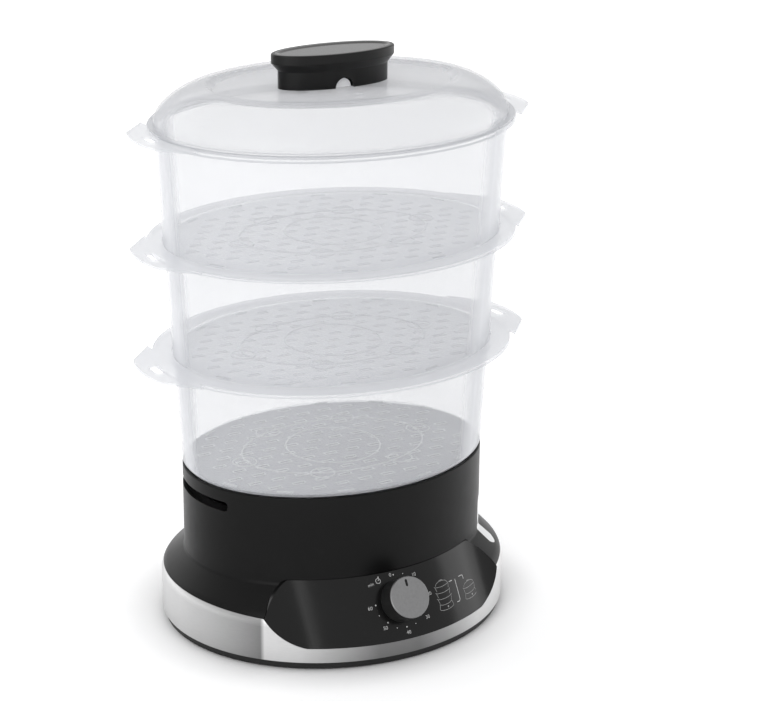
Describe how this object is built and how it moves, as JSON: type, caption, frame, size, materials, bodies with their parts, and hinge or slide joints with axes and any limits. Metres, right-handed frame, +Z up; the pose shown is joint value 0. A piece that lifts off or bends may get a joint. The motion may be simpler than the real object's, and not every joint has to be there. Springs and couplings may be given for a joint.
{
  "type": "electric food steamer",
  "caption": "Oval electric food steamer with a clockwork timer knob, stacked translucent bowls with ear grips, and a domed lid with a black handle.",
  "frame": {"origin": "centre of the base in plan, on the surface it stands on", "axes": "+Z up, +X along the long axis of the ovals, control panel and knob at -Y"},
  "size_m": [0.2932, 0.2394, 0.41],
  "materials": {
    "housing_plastic": "black moulded plastic, gloss",
    "silver_plastic": "bright silver band, satin",
    "dark_plastic": "black plastic",
    "foot_rubber": "black rubber",
    "screw_steel": "zinc plated steel",
    "panel_plastic": "black plastic, satin",
    "timer_case": "moulded timer case",
    "clear_plastic": "clear plastic, tinted",
    "tank_plastic": "black heat resistant plastic",
    "seal_rubber": "silicone rubber",
    "heater_metal": "stainless steel",
    "tube_metal": "sheathed heating element",
    "thermostat_case": "phenolic case",
    "gland_rubber": "black rubber",
    "knob_plastic": "black plastic, satin",
    "knob_cap_plastic": "silver grey cap, satin",
    "shaft_brass": "turned brass",
    "tray_plastic": "translucent white plastic",
    "bowl_plastic": "milky translucent plastic",
    "handle_plastic": "black plastic, satin",
    "handle_cap_plastic": "black plastic, gloss"
  },
  "bodies": {
    "base": {"housing": "housing_plastic", "trim_band": "silver_plastic", "base_plate": "dark_plastic", "rubber_feet": "foot_rubber", "base_screws": "screw_steel", "control_panel": "panel_plastic", "timer": "timer_case", "timer_screws": "screw_steel", "level_window": "clear_plastic", "water_tank": "tank_plastic", "heater_seal": "seal_rubber", "heater_plate": "heater_metal", "heater_tube": "tube_metal", "thermostat": "thermostat_case", "terminal_block": "tank_plastic", "cord_gland": "gland_rubber"},
    "timer_knob": {"knob": "knob_plastic", "knob_cap": "knob_cap_plastic", "timer_shaft": "shaft_brass"},
    "steam_ring": {"steam_ring": "tank_plastic"},
    "drip_tray": {"drip_tray": "tray_plastic"},
    "bowl_lower": {"bowl_lower": "bowl_plastic"},
    "bowl_middle": {"bowl_middle": "bowl_plastic"},
    "bowl_upper": {"bowl_upper": "bowl_plastic"},
    "lid": {"lid": "bowl_plastic", "lid_handle": "handle_plastic", "handle_cap": "handle_cap_plastic", "handle_screws": "screw_steel"}
  },
  "joints": [
    {"name": "timer_turn", "type": "hinge", "parent": "base", "child": "timer_knob", "pos_m": [0, -0.10007, 0.04], "axis": [0, 0.8413, -0.5405], "range_deg": [0, 270]},
    {"name": "steam_ring_lift", "type": "slide", "parent": "base", "child": "steam_ring", "axis": [0, 0, 1], "range_m": [0, 0.07]},
    {"name": "drip_tray_lift", "type": "slide", "parent": "steam_ring", "child": "drip_tray", "axis": [0, 0, 1], "range_m": [0, 0.06]},
    {"name": "bowl_lower_lift", "type": "slide", "parent": "drip_tray", "child": "bowl_lower", "axis": [0, 0, 1], "range_m": [0, 0.06]},
    {"name": "bowl_middle_lift", "type": "slide", "parent": "bowl_lower", "child": "bowl_middle", "axis": [0, 0, 1], "range_m": [0, 0.06]},
    {"name": "bowl_upper_lift", "type": "slide", "parent": "bowl_middle", "child": "bowl_upper", "axis": [0, 0, 1], "range_m": [0, 0.06]},
    {"name": "lid_lift", "type": "slide", "parent": "bowl_upper", "child": "lid", "axis": [0, 0, 1], "range_m": [0, 0.06]}
  ]
}
